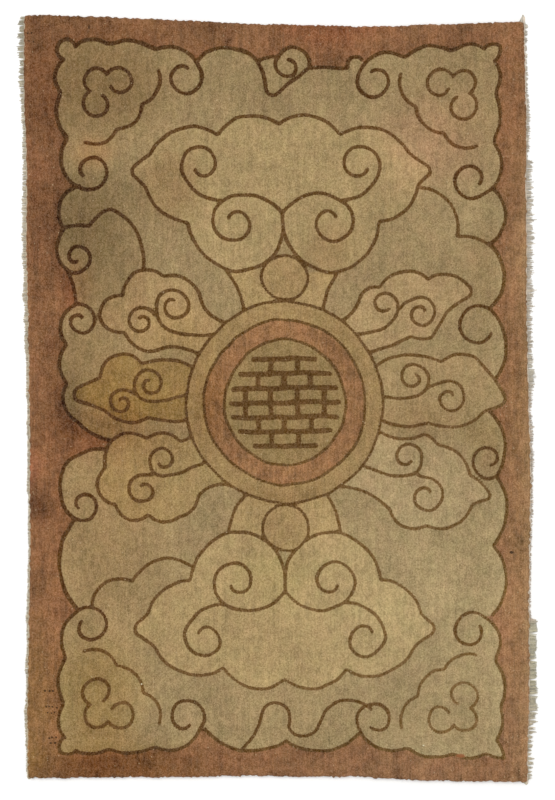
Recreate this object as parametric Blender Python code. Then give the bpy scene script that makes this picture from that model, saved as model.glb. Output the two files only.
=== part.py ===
"""An old Chinese pile rug lying flat, with the worn warp ends of its two long sides.

Frame: metres, +Z up. The rug lies on Z = 0 with its middle over the origin. Its long sides run
along Y. The warps run along X, so the cotton fringes are on the long sides, at -X and +X.
Each piece is a flat outline with a thickness: the rug has a rounded rim, and each fringe is one
comb whose teeth are bunches of warp ends.
"""

import math
import random
from collections import namedtuple

import bpy

MM = 0.001

# Driving dimensions, in metres
PILE_WIDTH = 0.912
PILE_LENGTH = 1.380
RUG_THICKNESS = 0.0095
RIM_RADIUS = 0.003
CORNER_RADIUS = 0.007
OUTLINE_STEP = 0.024
EDGE_WAVER = 0.0005
EDGE_WAVE_LENGTH = 0.085
SLOW_WAVE_SHARE = 0.37

FRINGE_THICKNESS = 0.002
FRINGE_GAP = 0.0003
WEB_WIDTH = 0.0025
TOOTH_PITCH = 0.0125
TOOTH_ROOT = 0.0095
TOOTH_TIP = 0.0050
SHORTEST_TOOTH = 0.001

RIM_SEGMENTS = 2
SMOOTHING_REACH = 0.044
SMOOTHING_STEP = 0.011
CORNER_SEGMENTS = 3

# How far each pile edge stands out from the true rectangle, or in where negative.
# "along" runs towards +X on the end edges and towards +Y on the long sides.
EdgeRow = namedtuple("EdgeRow", "along_mm out_mm")

TOP_EDGE = [
    EdgeRow(-430, 11.5),
    EdgeRow(-284, 7.0),
    EdgeRow(-110, -2.0),
    EdgeRow(65, -7.5),
    EdgeRow(190, -9.5),
    EdgeRow(283, -6.5),
    EdgeRow(371, -4.0),
    EdgeRow(430, 1.0),
]
BOTTOM_EDGE = [
    EdgeRow(-430, -2.0),
    EdgeRow(-197, -2.5),
    EdgeRow(-110, -4.5),
    EdgeRow(130, -4.0),
    EdgeRow(240, 1.5),
    EdgeRow(371, 5.5),
    EdgeRow(430, 7.0),
]
LEFT_EDGE = [
    EdgeRow(-680, -2.0),
    EdgeRow(-620, 1.0),
    EdgeRow(-520, 0.5),
    EdgeRow(-430, -2.0),
    EdgeRow(-220, -4.0),
    EdgeRow(45, -2.5),
    EdgeRow(255, 2.5),
    EdgeRow(470, 2.5),
    EdgeRow(560, 7.5),
    EdgeRow(680, 7.5),
]
RIGHT_EDGE = [
    EdgeRow(-680, -3.0),
    EdgeRow(-620, -2.0),
    EdgeRow(-545, 2.5),
    EdgeRow(-450, 1.5),
    EdgeRow(-390, -0.5),
    EdgeRow(-320, 2.0),
    EdgeRow(-200, 2.5),
    EdgeRow(-110, 4.0),
    EdgeRow(-30, 1.0),
    EdgeRow(90, -2.8),
    EdgeRow(345, -4.2),
    EdgeRow(560, -5.0),
    EdgeRow(680, -7.5),
]

# How far the warp ends reach beyond the pile, and how much one bunch differs from the next.
FringeRow = namedtuple("FringeRow", "along_mm reach_mm ragged_mm")

LEFT_FRINGE = [
    FringeRow(-690, 4.0, 1.0),
    FringeRow(-640, 3.5, 1.0),
    FringeRow(-580, 6.5, 1.2),
    FringeRow(-510, 4.8, 1.0),
    FringeRow(-330, 4.8, 0.8),
    FringeRow(-220, 3.8, 0.8),
    FringeRow(-90, 6.0, 0.8),
    FringeRow(40, 5.0, 1.0),
    FringeRow(110, 8.5, 1.2),
    FringeRow(400, 8.5, 1.2),
    FringeRow(460, 6.5, 1.2),
    FringeRow(560, 8.5, 1.5),
    FringeRow(650, 12.0, 1.5),
    FringeRow(690, 9.5, 1.0),
]
RIGHT_FRINGE = [
    FringeRow(-690, 9.5, 2.0),
    FringeRow(-625, 5.5, 3.0),
    FringeRow(-585, 13.0, 2.5),
    FringeRow(-440, 14.0, 1.2),
    FringeRow(-410, 13.0, 1.5),
    FringeRow(-398, 3.5, 1.0),
    FringeRow(-250, 4.0, 0.8),
    FringeRow(-105, 6.0, 1.0),
    FringeRow(0, 5.5, 1.2),
    FringeRow(45, 12.0, 1.2),
    FringeRow(90, 8.0, 1.0),
    FringeRow(150, 10.0, 1.2),
    FringeRow(430, 11.5, 1.0),
    FringeRow(444, 1.5, 0.5),
    FringeRow(458, 1.5, 0.5),
    FringeRow(470, 7.5, 1.2),
    FringeRow(560, 4.5, 1.0),
    FringeRow(690, 5.0, 1.0),
]

# A loose wisp at an end of a fringe: how far it sticks out past the end of the pile.
WispRow = namedtuple("WispRow", "top_mm bottom_mm")

LEFT_WISPS = WispRow(0.5, 4.0)
RIGHT_WISPS = WispRow(13.0, 5.0)
WISP_WIDTH = 0.0065

FringeSide = namedtuple("FringeSide", "name sign rows wisps seed")

FRINGE_SIDES = [
    FringeSide("fringe_left", -1, LEFT_FRINGE, LEFT_WISPS, 11),
    FringeSide("fringe_right", 1, RIGHT_FRINGE, RIGHT_WISPS, 23),
]

Finish = namedtuple("Finish", "name colour roughness metallic")

WOOL = Finish("pile_wool", (0.27, 0.17, 0.08, 1.0), 0.95, 0.0)
COTTON = Finish("warp_cotton", (0.55, 0.49, 0.38, 1.0), 0.92, 0.0)


def between_rows(rows, column, along):
    """A table column on the straight line between its rows, in metres."""
    along_mm = along / MM
    if along_mm <= rows[0].along_mm:
        return getattr(rows[0], column) * MM
    for low, high in zip(rows, rows[1:]):
        if along_mm <= high.along_mm:
            share = (along_mm - low.along_mm) / (high.along_mm - low.along_mm)
            value = getattr(low, column) + share * (getattr(high, column) - getattr(low, column))
            return value * MM
    return getattr(rows[-1], column) * MM


def edge_out(rows, along):
    """How far a pile edge stands out at a place: smoothed, with the slight waver of handwork."""
    reads = []
    for sample in steps(-SMOOTHING_REACH, SMOOTHING_REACH, SMOOTHING_STEP):
        reads.append(between_rows(rows, "out_mm", along + sample))
    phase = 2 * math.pi * along / EDGE_WAVE_LENGTH
    waver = EDGE_WAVER * (math.sin(phase) + math.sin(phase * SLOW_WAVE_SHARE))
    return sum(reads) / len(reads) + waver


def top_y(x):
    return PILE_LENGTH / 2 + edge_out(TOP_EDGE, x)


def bottom_y(x):
    return -PILE_LENGTH / 2 - edge_out(BOTTOM_EDGE, x)


def left_x(y):
    return -PILE_WIDTH / 2 - edge_out(LEFT_EDGE, y)


def right_x(y):
    return PILE_WIDTH / 2 + edge_out(RIGHT_EDGE, y)


def steps(start, stop, pitch):
    """Evenly spaced values from start to stop, both included."""
    count = max(1, round(abs(stop - start) / pitch))
    return [start + (stop - start) * number / count for number in range(count + 1)]


def corner(centre_x, centre_y, start_degrees):
    """The points inside a rounded corner, a quarter turn counterclockwise."""
    points = []
    for number in range(1, CORNER_SEGMENTS):
        angle = math.radians(start_degrees + 90 * number / CORNER_SEGMENTS)
        across = CORNER_RADIUS * math.cos(angle)
        up = CORNER_RADIUS * math.sin(angle)
        points.append((centre_x + across, centre_y + up))
    return points


def rug_outline():
    """The pile's outline, counterclockwise from the lower left corner."""
    round_off = CORNER_RADIUS
    half_width = PILE_WIDTH / 2
    half_length = PILE_LENGTH / 2
    west_low = left_x(-half_length) + round_off
    east_low = right_x(-half_length) - round_off
    east_high = right_x(half_length) - round_off
    west_high = left_x(half_length) + round_off
    south_west = bottom_y(-half_width) + round_off
    south_east = bottom_y(half_width) + round_off
    north_east = top_y(half_width) - round_off
    north_west = top_y(-half_width) - round_off

    outline = [(x, bottom_y(x)) for x in steps(west_low, east_low, OUTLINE_STEP)]
    outline += corner(east_low, south_east, -90)
    outline += [(right_x(y), y) for y in steps(south_east, north_east, OUTLINE_STEP)]
    outline += corner(east_high, north_east, 0)
    outline += [(x, top_y(x)) for x in steps(east_high, west_high, OUTLINE_STEP)]
    outline += corner(west_high, north_west, 90)
    outline += [(left_x(y), y) for y in steps(north_west, south_west, OUTLINE_STEP)]
    outline += corner(west_low, south_west, 180)
    return outline


def wisp(side, edge_x, end_y, stick_out, upward):
    """A pointed wisp past the end of the pile, from its inner root over its tip to its outer root."""
    root_y = end_y + upward * FRINGE_GAP
    tip = (edge_x + side.sign * FRINGE_GAP, end_y + upward * stick_out)
    outer = (edge_x + side.sign * WEB_WIDTH, root_y)
    if stick_out < CORNER_RADIUS:
        return [tip, outer]
    inner = (edge_x - side.sign * WISP_WIDTH, root_y + upward * CORNER_RADIUS / 4)
    return [inner, tip, outer]


def tooth(side, web_x, reach, y, lean):
    """One bunch of warp ends, from its upper root over its tip to its lower root."""
    tip_x = web_x + side.sign * max(SHORTEST_TOOTH, reach - WEB_WIDTH)
    return [
        (web_x, y + TOOTH_ROOT / 2),
        (tip_x, y + lean + TOOTH_TIP / 2),
        (tip_x, y + lean - TOOTH_TIP / 2),
        (web_x, y - TOOTH_ROOT / 2),
    ]


def fringe_outline(side):
    """One comb: up the gap beside the pile, round the upper wisp, and down the teeth."""
    edge_x = right_x if side.sign > 0 else left_x
    end_x = side.sign * (PILE_WIDTH / 2 - CORNER_RADIUS)
    high = top_y(end_x)
    low = bottom_y(end_x)
    draws = random.Random(side.seed)

    outline = []
    for y in steps(low + CORNER_RADIUS / 2, high - CORNER_RADIUS / 2, OUTLINE_STEP):
        outline.append((edge_x(y) + side.sign * FRINGE_GAP, y))
    outline += wisp(side, edge_x(high), high, side.wisps.top_mm * MM, 1)
    for y in steps(high - TOOTH_PITCH, low + TOOTH_PITCH, TOOTH_PITCH):
        ragged = between_rows(side.rows, "ragged_mm", y)
        reach = between_rows(side.rows, "reach_mm", y) + draws.uniform(-ragged, ragged)
        lean = draws.uniform(-1, 1) * (TOOTH_ROOT - TOOTH_TIP) / 2
        outline += tooth(side, edge_x(y) + side.sign * WEB_WIDTH, reach, y, lean)
    outline += reversed(wisp(side, edge_x(low), low, side.wisps.bottom_mm * MM, -1))
    return outline


def middle(outlines):
    """The middle of the box around some outlines."""
    xs = [x for outline in outlines for x, _ in outline]
    ys = [y for outline in outlines for _, y in outline]
    return (min(xs) + max(xs)) / 2, (min(ys) + max(ys)) / 2


def flat_piece(name, outline, thickness, rim_radius, finish):
    """A piece cut to an outline: a filled curve with its underside at Z = 0."""
    curve = bpy.data.curves.new(name, "CURVE")
    curve.dimensions = "2D"
    curve.fill_mode = "BOTH"
    curve.extrude = thickness / 2 - rim_radius
    curve.bevel_depth = rim_radius
    curve.bevel_resolution = RIM_SEGMENTS
    curve.offset = -rim_radius
    spline = curve.splines.new("POLY")
    spline.points.add(len(outline) - 1)
    for point, (x, y) in zip(spline.points, outline):
        point.co = (x, y, 0, 1)
    spline.use_cyclic_u = True
    curve.materials.append(principled(finish))

    piece = bpy.data.objects.new(name, curve)
    piece.location.z = thickness / 2
    return piece


def principled(finish):
    """A plain material with a finish's colour, roughness and metallic value."""
    material = bpy.data.materials.new(finish.name)
    material.use_nodes = True
    shader = material.node_tree.nodes["Principled BSDF"]
    shader.inputs["Base Color"].default_value = finish.colour
    shader.inputs["Roughness"].default_value = finish.roughness
    shader.inputs["Metallic"].default_value = finish.metallic
    return material


def main():
    for leftover in list(bpy.data.objects):
        bpy.data.objects.remove(leftover)
    collection = bpy.data.collections.new("chinese_rug")
    bpy.context.scene.collection.children.link(collection)

    body = rug_outline()
    combs = {side.name: fringe_outline(side) for side in FRINGE_SIDES}
    pieces = [flat_piece("rug", body, RUG_THICKNESS, RIM_RADIUS, WOOL)]
    for name, comb in combs.items():
        pieces.append(flat_piece(name, comb, FRINGE_THICKNESS, 0, COTTON))

    middle_x, middle_y = middle([body, *combs.values()])
    for piece in pieces:
        piece.location.x = -middle_x
        piece.location.y = -middle_y
        collection.objects.link(piece)


main()
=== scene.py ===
"""The looks of the old Chinese pile rug: knotted wool pile, its foundation and its warp ends.

The pattern is drawn first, as lines and zones in centimetres. Every knot-sized vertex of the pile
then takes its dye and its distance to the nearest line from that drawing, and the wool's material
turns both into knots, wear and stains.
"""

import math
import random
from collections import namedtuple
from itertools import starmap

import bpy
import numpy as np
from mathutils.kdtree import KDTree
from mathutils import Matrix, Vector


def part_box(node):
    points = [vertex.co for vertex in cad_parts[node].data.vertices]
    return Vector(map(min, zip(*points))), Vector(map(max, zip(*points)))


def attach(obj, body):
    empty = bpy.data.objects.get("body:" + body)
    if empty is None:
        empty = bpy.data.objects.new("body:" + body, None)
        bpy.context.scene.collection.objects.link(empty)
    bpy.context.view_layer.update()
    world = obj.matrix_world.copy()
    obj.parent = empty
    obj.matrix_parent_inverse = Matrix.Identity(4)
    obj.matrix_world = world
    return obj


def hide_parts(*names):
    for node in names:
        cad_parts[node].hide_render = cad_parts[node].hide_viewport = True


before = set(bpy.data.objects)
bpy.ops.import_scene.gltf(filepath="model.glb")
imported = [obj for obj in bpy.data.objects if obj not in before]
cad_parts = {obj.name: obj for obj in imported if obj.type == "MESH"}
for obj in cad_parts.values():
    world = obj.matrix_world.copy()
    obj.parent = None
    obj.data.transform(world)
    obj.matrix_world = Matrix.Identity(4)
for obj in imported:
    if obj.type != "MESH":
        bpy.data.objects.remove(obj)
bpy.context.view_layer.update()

CM = 0.01
MM = 0.001

# The rug's own sizes, in metres. Its rim's rows are by angle round the roll, in degrees.
PILE_TOP = 8.9 * MM
PILE_UNDERSIDE = 1.4 * MM
CELL = 3.8 * MM
RIM_ROLL = 5.5 * MM
RIM_ANGLES = (22, 45, 67, 90)
RIM_TUCK = 0.4 * MM
SHAG = 0.8 * MM
SHAG_SPREAD = SHAG / 3
CARVED_DEPTH = 0.7 * MM
SWELL = 0.45 * MM
SWELL_SIZE = 70 * MM
RIPPLE_SIZE = 26 * MM
RIPPLE_SHARE = 0.5
KNOT_ROUGHNESS = 0.16 * MM

# How wide the slope at a carved line's edge is, in cm as the pattern is.
CARVED_BEVEL = 0.3

FOUNDATION_CELL = 6.5 * MM
FOUNDATION_HEIGHT = 2.4 * MM
FOUNDATION_INSET = 2.0 * MM
FOUNDATION_FOOT = 1.0 * MM
SEAM = 0.3 * MM

SWELL_SEED, RIPPLE_SEED, KNOT_SEED, RIM_SEED = 3, 4, 5, 6

# ---------------- drawing the pattern
# The pattern is drawn in centimetres from its own middle, +X right and +Y up. Outlines run
# clockwise, so a positive bulge swells to the left of travel, which is outwards.

Cusp = namedtuple("Cusp", "x y bulge")                  # an arc swells from here to the next cusp
Lobe = namedtuple("Lobe", "bearing reach bulge")        # the same, seen from the middle of a cloud

# A scroll, wound counterclockwise by turn. heart is the share of its radius that it ends at.
Spiral = namedtuple("Spiral", "x y radius start turn heart")

DRAW_STEP = 0.15
STRAIGHT = 0.01
SCROLL_EASE = 1.4


def bearing_step(degrees, radius):
    """The step from a middle to a place at a bearing, counterclockwise from +X."""
    angle = np.radians(degrees)
    return np.stack([np.cos(angle) * radius, np.sin(angle) * radius], axis=-1)


def points_for(length):
    return max(3, math.ceil(length / DRAW_STEP))


def arc(start, end, bulge):
    """A round arc between two places. bulge is its height over half its chord, to the left."""
    start = np.asarray(start, float)
    chord = np.asarray(end, float) - start
    length = math.hypot(*chord)
    if abs(bulge) < STRAIGHT:
        return start + chord * np.linspace(0, 1, points_for(length))[:, None]
    sweep = 4 * math.atan(bulge)
    radius = length / 2 / math.sin(sweep / 2)
    left = np.array([-chord[1], chord[0]]) / length
    middle = start + chord / 2 - left * radius * math.cos(sweep / 2)
    spoke = start - middle
    turned = -np.linspace(0, sweep, points_for(abs(radius * sweep)))
    cosine, sine = np.cos(turned), np.sin(turned)
    across, along = spoke
    return middle + np.stack([across * cosine - along * sine, across * sine + along * cosine], axis=-1)


def chain(*cusps):
    """Arcs from cusp to cusp, as one line. The last cusp's bulge isn't used."""
    return np.concatenate([arc(here[:2], there[:2], here[2]) for here, there in zip(cusps, cusps[1:])])


def scroll(x, y, radius, start, turn, heart):
    """A spiral round a middle, from a bearing on its rim and winding in."""
    share = np.linspace(0, 1, points_for(radius * math.radians(abs(turn))))
    shrunk = 1 - (1 - heart) * share**SCROLL_EASE
    return np.array([x, y]) + bearing_step(start + turn * share, radius * shrunk)


def curl(line, x, y, turn, heart):
    """A line, or one place, that goes on from its end into a spiral round a middle."""
    line = np.atleast_2d(line)
    spoke = line[-1] - np.array([x, y])
    start = math.degrees(math.atan2(spoke[1], spoke[0]))
    return np.concatenate([line, scroll(x, y, math.hypot(*spoke), start, turn, heart)])


def soften(line, reach):
    """A line with its corners rounded, as knots draw it. Its ends stay where they are."""
    spans = np.hypot(*np.diff(line, axis=0).T)
    along = np.concatenate([[0], np.cumsum(spans)])
    even = np.linspace(0, along[-1], points_for(along[-1]))
    places = np.stack([np.interp(even, along, line[:, axis]) for axis in (0, 1)], axis=-1)
    half = max(1, round(reach / DRAW_STEP))
    weights = np.hanning(2 * half + 3)[1:-1]
    before = 2 * places[0] - places[half:0:-1]
    after = 2 * places[-1] - places[-2:-half - 2:-1]
    padded = np.concatenate([before, places, after])
    columns = [np.convolve(padded[:, axis], weights / weights.sum(), mode="valid") for axis in (0, 1)]
    return np.stack(columns, axis=-1)


def lead(tail, line, slack=0.55):
    """A tail that sweeps from a place into the start of a line without a corner, and the line."""
    tail = np.asarray(tail, float)
    onward = line[1] - line[0]
    length = math.hypot(*(line[0] - tail))
    bend = line[0] - onward / math.hypot(*onward) * length * slack
    share = np.linspace(0, 1, points_for(length))[:, None]
    swept = tail * (1 - share) ** 2 + 2 * bend * share * (1 - share) + line[0] * share**2
    return np.concatenate([swept, line])


def ellipse(x, y, half_width, half_height):
    turn = np.linspace(0, 2 * np.pi, points_for(2 * math.pi * half_width))
    return np.stack([x + half_width * np.cos(turn), y + half_height * np.sin(turn)], axis=-1)


# ---------------- the pattern's places
MEDALLION = (1.2, -0.45)
RING_OUT = (17.85, 18.3)
RING_MIDDLE = (14.6, 14.9)
RING_IN = (10.9, 11.3)

BORDER_LINE = 0.68
CLOUD_LINE = 0.65
RING_LINE = 0.55


def on_ring(bearing):
    """A place on the medallion's outer ring."""
    return np.array(MEDALLION) + bearing_step(bearing, 1.0) * RING_OUT


# A corner's border line runs from a knob at the corner along both sides, in waves between
# notches, to a curl. The notches' depths are inwards from the corner's own straight lines.
Run = namedtuple("Run", "curl_at curl_depth first second third near_swell far_swell last_swell")

# A corner of the field: where its two straight lines meet, which way is inwards, how far in the
# knob's tip is and how round it is, and the two runs.
Corner = namedtuple("Corner", "x y inward_x inward_y tip knob across along")

CORNERS = {
    "top_left": Corner(-40.3, 65.5, 1, -1, 0.3, 0.55,
                       Run(23.2, 6.8, 1.2, 0.9, 2.1, 0.42, 0.33, 0.45),
                       Run(24.0, 6.0, 1.2, 0.8, 2.1, 0.45, 0.33, 0.50)),
    "top_right": Corner(41.0, 65.0, -1, -1, 0.6, 0.38,
                        Run(23.4, 6.8, 1.2, 1.8, 2.7, 0.35, 0.40, 0.45),
                        Run(24.8, 6.0, 1.5, 1.4, 2.0, 0.40, 0.30, 0.50)),
    "bottom_right": Corner(41.2, -65.3, -1, 1, 0.2, 0.10,
                           Run(23.4, 7.3, 1.0, 1.2, 2.3, 0.30, 0.35, 0.45),
                           Run(23.2, 6.0, 1.5, 0.9, 1.9, 0.25, 0.33, 0.50)),
    "bottom_left": Corner(-40.3, -64.6, 1, 1, 0.5, 0.35,
                          Run(23.4, 6.8, 1.0, 1.3, 1.6, 0.30, 0.25, 0.45),
                          Run(23.3, 6.0, 1.4, 1.5, 2.1, 0.40, 0.35, 0.50)),
}
NOTCHES = (3.4, 9.4, 17.8)
WAVE_SOFTNESS = 1.6
CURL_TOP = (2.85, 1.85)


def to_corner(corner, line):
    """Moves a line, drawn from the top left corner, to its place at any of the four."""
    return np.array([corner.x, corner.y]) + line * np.array([corner.inward_x, -corner.inward_y])


def across_diagonal(line):
    """The mirror image of a top left corner's line about the corner's diagonal."""
    return -line[:, ::-1]


def corner_run(run):
    """The border line from a corner's knob to the curl that ends it, rightwards from the top left."""
    near, middle, far = NOTCHES
    joint = Cusp(run.curl_at + CURL_TOP[0], CURL_TOP[1] - run.curl_depth, 0)
    waves = chain(Cusp(near, -run.first, run.near_swell), Cusp(middle, -run.second, run.far_swell),
                  Cusp(far, -run.third, run.last_swell), joint)
    return soften(waves, WAVE_SOFTNESS), curl(waves[-1:], run.curl_at, -run.curl_depth, -330, 0.5)


def corner_lines(corner):
    """A corner's border line, from its side curl round the knob to its top curl, and both curls."""
    top, top_curl = corner_run(corner.across)
    side, side_curl = corner_run(corner.along)
    side, side_curl = across_diagonal(side)[::-1], across_diagonal(side_curl)
    knob = chain(Cusp(*side[-1], corner.knob), Cusp(corner.tip, -corner.tip, corner.knob), Cusp(*top[0], 0))
    border = np.concatenate([side, knob, top])
    return to_corner(corner, border), [to_corner(corner, line) for line in (top_curl, side_curl)]


def trefoil(corner):
    """Three lobes in a corner, whose two outer ones end as open scrolls."""
    near = chain(Cusp(6.2, -9.2, 1.3), Cusp(9.2, -6.2, 0))
    along = curl(near[-1:], 11.5, -7.4, -300, 0.72)
    return [to_corner(corner, line) for line in (near, along, across_diagonal(along))]


def bracket(corner):
    """Three lobes on an arc round a corner of the field."""
    cusps = [Cusp(*bearing_step(-bearing, 19.4), 0.42) for bearing in (17, 36, 56, 75)]
    return to_corner(corner, chain(*cusps))


# ---------------- the field's four edges
def left_edge():
    """The waves between the two left corners, from the bottom up, and their curls."""
    low = chain(Cusp(-36.5, -38.5, 0.37), Cusp(-37, -21.5, 0.20), Cusp(-39.5, -18, 0.15),
                Cusp(-39, -12, 0.25), Cusp(-31.5, -9, 0))
    high = chain(Cusp(-30.5, -7.5, 0.15), Cusp(-36.5, -4, 0.45), Cusp(-38.5, 3, 0.40), Cusp(-38.5, 10, 0.50),
                 Cusp(-36.5, 17.5, -0.10), Cusp(-38.5, 24, 0.45), Cusp(-39, 31, 0.50), Cusp(-36.5, 39, 0))
    curls = [
        curl((-37, -21.5), -35.5, -19, 330, 0.35),
        curl((-36.5, 17.5), -36, 14.5, -400, 0.25),
        curl((-38.5, 24), -36.5, 26, 400, 0.30),
    ]
    return [low, high], curls


def right_edge():
    """The waves between the two right corners, from the top down, and their curls."""
    high = chain(Cusp(39, 38.5, 0.50), Cusp(38.5, 28.5, 0.45), Cusp(38.5, 16.5, 0.40), Cusp(39, 3.5, 0))
    low = chain(Cusp(38.5, -2, 0.35), Cusp(40, -14, 0.35), Cusp(39, -26.5, 0.40), Cusp(39, -39, 0))
    curls = [
        curl((38.5, 16.5), 36.5, 13.5, 270, 0.75),
        curl((40, -14), 38.5, -11, -360, 0.30),
    ]
    return [high, low], curls


def top_edge():
    """The waves between the two top corners, left to right, round a hanging flap with a curl."""
    wave = chain(Cusp(-14.2, 62.0, 0.48), Cusp(-4, 61.5, 0.10), Cusp(0, 62.5, 0.95), Cusp(5.5, 60.5, 0.05),
                 Cusp(12.5, 60.5, 0.9), Cusp(15, 62, 0))
    flap = chain(Cusp(-4, 61.5, 0.15), Cusp(-2.5, 56.5, -0.6), Cusp(-0.5, 55.5, 0.0), Cusp(5.5, 60.5, 0))
    return [wave], [flap, curl((0, 62.5), 1.6, 60.8, 310, 0.55)]


def bottom_edge():
    """The waves between the two bottom corners, right to left, with a lower wave inside."""
    outer = chain(Cusp(15, -60.5, 0.40), Cusp(1.5, -62, 0.39), Cusp(-13.5, -60, 0))
    inner = chain(Cusp(-7, -64, -0.15), Cusp(-3.5, -59.5, 0), Cusp(-3, -57, 0.8), Cusp(2, -57, 0.1),
                  Cusp(2, -59.5, -0.6), Cusp(7, -60, 0), Cusp(8.5, -56.5, 0.4), Cusp(17, -56, 0))
    return [outer], [inner]


def field_outline():
    """The outline of the whole field, clockwise from the top left corner's side curl."""
    def around(name):
        border = corner_lines(CORNERS[name])[0]
        return border[::-1] if CORNERS[name].inward_x == CORNERS[name].inward_y else border

    return np.concatenate([
        around("top_left"), *top_edge()[0], around("top_right"), *right_edge()[0],
        around("bottom_right"), *bottom_edge()[0], around("bottom_left"), *left_edge()[0],
    ])


def hills():
    """Free lines in the field, behind the clouds."""
    left = chain(Cusp(-39.5, 31, 0.2), Cusp(-34.5, 31.5, 0.3), Cusp(-30.5, 34.5, 0.35), Cusp(-24.5, 23.5, 0))
    right = chain(Cusp(26, 38.5, 0.45), Cusp(32.5, 29.5, 0.45), Cusp(41, 23.5, 0))
    low_left = chain(Cusp(-34, -37.5, 0.55), Cusp(-26.5, -33, 0.50), Cusp(-15.5, -30.5, 0))
    return [left, right, low_left]


# ---------------- clouds
# A side cloud has its middle and radius, the bearings on the ring where its outline starts and ends,
# its neck's bulge, its lobes' rows, where its scrolls' line starts, and the two scrolls.
SideCloud = namedtuple("SideCloud", "dye x y radius root_in root_out neck lobes tail inner outer")

SIDE_CLOUDS = [
    SideCloud((169, 141, 98), -22.5, 16, 6.6, 151, 128, -0.15,
              [(282, 1.0, 0.45), (212, 1.0, 1.25), (152, 1.0, 0.65), (75, 1.0, 0.45), (15, 1.3, -0.25)],
              (-12, 12), Spiral(-19, 17, 3.2, 180, -450, 0.35),
              Spiral(-25, 14.5, 2.5, 80, 400, 0.25)),
    SideCloud((152, 124, 76), -27, 1.5, 5.8, 190, 160, 0.10,
              [(305, 1.0, 0.35), (220, 1.0, 0.0), (190, 1.7, 0.50), (178, 1.7, 0.05),
               (155, 1.0, 0.80), (70, 0.95, 0.25)],
              (-17, 1), Spiral(-23.5, 3, 2.8, 180, -430, 0.25),
              Spiral(-28.5, -0.5, 2.3, 80, 400, 0.25)),
    SideCloud((164, 138, 92), -24.5, -14, 7.0, 238, 199, -0.35,
              [(340, 1.5, 0.4), (312, 1.35, 0.45), (276, 1.0, 0.6), (224, 1.0, 0.70),
               (166, 1.0, 0.70), (85, 1.0, 0.4), (43, 1.33, -0.1)],
              (-13.5, -11.5), Spiral(-21, -11, 2.4, 180, -320, 0.40),
              Spiral(-24.5, -16.5, 2.8, 80, 400, 0.30)),
    SideCloud((171, 144, 102), 24, 17, 6.6, 54, 30, -0.2,
              [(170, 1.4, 0.35), (147, 1.0, 0.50), (55, 0.9, 0.40), (20, 1.7, 0.60),
               (8, 1.6, -0.05), (-8, 1.05, 0.05), (-54, 1.0, 0.2), (-88, 0.8, 0.1)],
              (14.5, 12), Spiral(19.5, 17.5, 2.3, 0, 310, 0.50),
              Spiral(26, 16, 2.8, 100, -430, 0.25)),
    SideCloud((164, 139, 97), 28, 1.5, 5.8, 21, -10, 0.28,
              [(76, 1.0, 0.30), (38, 1.73, 0.05), (-2, 2.25, 0.50), (-11, 2.2, -0.05),
               (-22, 1.75, 0.30), (262, 1.0, 0.25)],
              (19, 0.5), Spiral(24.5, 4, 2.7, 0, 400, 0.30),
              Spiral(31, 0.5, 3.1, 100, -420, 0.25)),
    SideCloud((170, 146, 105), 27.5, -14.5, 6.0, -17, -57, -0.25,
              [(97, 1.35, 0.15), (76, 1.05, 0.35), (5, 1.25, 0.15), (-12, 1.9, 0.50),
               (-20, 1.85, 0.0), (-30, 1.5, 0.45), (-94, 1.4, 0.45), (216, 1.45, -0.2)],
              (15.2, -11.7), Spiral(23.5, -10.5, 2.6, 0, 310, 0.40),
              Spiral(27, -17.5, 3.3, 90, -410, 0.30)),
]


# Where the line between a cloud's two scrolls starts, as a share of the inner one's radius.
LINK_START = 1.2


def side_cloud(cloud):
    """A small cloud that grows from the medallion's ring: its outline and its two linked scrolls."""
    middle = np.array([cloud.x, cloud.y])
    cusps = [Cusp(*on_ring(cloud.root_in), cloud.neck)]
    for lobe in starmap(Lobe, cloud.lobes):
        cusps.append(Cusp(*(middle + bearing_step(lobe.bearing, lobe.reach * cloud.radius)), lobe.bulge))
    cusps.append(Cusp(*on_ring(cloud.root_out), 0))

    inner = scroll(*cloud.inner)
    inner_middle = np.array(cloud.inner[:2])
    towards = np.array(cloud.outer[:2]) - inner_middle
    link = inner_middle + towards * LINK_START * cloud.inner.radius / math.hypot(*towards)
    outer = lead(link, scroll(*cloud.outer))
    return chain(*cusps), [lead(cloud.tail, inner), outer]


# sag is how far a big cloud's middle is moved outwards, and its tips not at all.
BigCloud = namedtuple("BigCloud", "dye axis up lean sag")

BIG_CLOUDS = [
    BigCloud((169, 145, 101), 0.9, 1, -0.05, 0.0),
    BigCloud((172, 147, 102), 1.2, -1, 0.0, 0.8),
]
BIG_CLOUD_FOOT = 32.5
BIG_CLOUD_HALF = 27.0


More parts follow.
